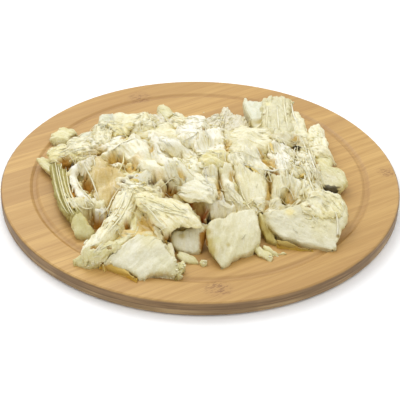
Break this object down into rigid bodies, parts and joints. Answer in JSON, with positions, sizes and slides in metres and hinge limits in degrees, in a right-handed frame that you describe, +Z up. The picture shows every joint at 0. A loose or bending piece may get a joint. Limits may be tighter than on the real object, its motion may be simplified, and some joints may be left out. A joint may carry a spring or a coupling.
{
  "type": "dish of shredded salt cod",
  "caption": "Round bamboo serving board with a ring groove, carrying a heap of torn salt cod in thick chunks, thin flakes and stringy shreds.",
  "frame": {"origin": "centre of the board's underside", "axes": "+Z up out of the board's top; -Y towards the side that the picture was taken from; +X to its right"},
  "size_m": [0.32, 0.32, 0.0534],
  "materials": {
    "bamboo": "satin",
    "cod": "satin"
  },
  "bodies": {
    "root": {"bamboo_board": "bamboo", "cod_heap": "cod", "chunk_front_left": "cod", "chunk_front_centre": "cod", "chunk_front_right": "cod", "block_front_middle": "cod", "strand_front_left": "cod", "lobe_left_front": "cod", "fibre_bundle_left": "cod", "flake_left_top": "cod", "flake_back_left": "cod", "slab_back_right": "cod", "piece_right_back": "cod", "flake_right": "cod"}
  },
  "joints": []
}
